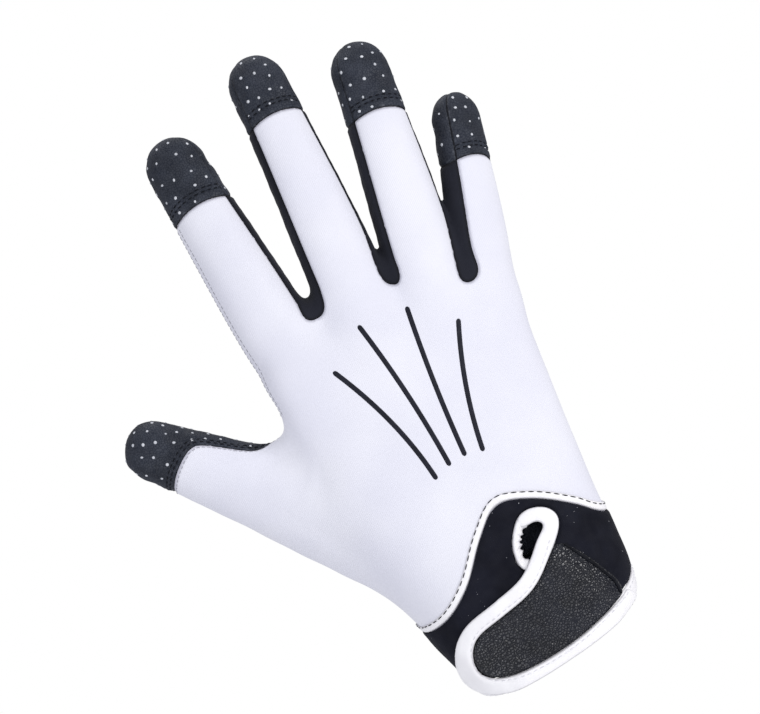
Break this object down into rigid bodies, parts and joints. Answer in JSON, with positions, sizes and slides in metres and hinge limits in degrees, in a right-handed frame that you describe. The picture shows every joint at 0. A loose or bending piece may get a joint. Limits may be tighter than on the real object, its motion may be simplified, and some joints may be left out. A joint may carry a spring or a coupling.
{
  "type": "handball glove",
  "caption": "Right-hand grip glove with a stretch back, gripping palm and fingertips, and a strapped neoprene cuff.",
  "frame": {"origin": "centre of the wrist opening", "axes": "+Z from the wrist opening to the fingertips, -Y out of the back of the hand, -X to the thumb"},
  "size_m": [0.1674, 0.0465, 0.237],
  "materials": {
    "stretch_cloth": "fine white stretch knit",
    "grip_leather": "matte black synthetic leather with raised pale grip dots",
    "side_cloth": "soft black stretch cloth",
    "neoprene": "black neoprene faced with cloth",
    "white_tape": "soft white elastic tape",
    "strap_leather": "grained black synthetic leather"
  },
  "bodies": {
    "root": {"back_panel": "stretch_cloth", "palm_panel": "grip_leather", "thumb_panel": "grip_leather", "fingertip_cap_index": "grip_leather", "fingertip_cap_middle": "grip_leather", "fingertip_cap_ring": "grip_leather", "fingertip_cap_little": "grip_leather", "side_strip_index_middle": "side_cloth", "side_strip_middle_ring": "side_cloth", "side_strip_ring_little": "side_cloth", "cuff_band": "neoprene", "cuff_piping": "white_tape", "hem_binding": "white_tape", "slit_binding": "white_tape", "strap_tab": "strap_leather", "strap_binding": "white_tape"}
  },
  "joints": []
}
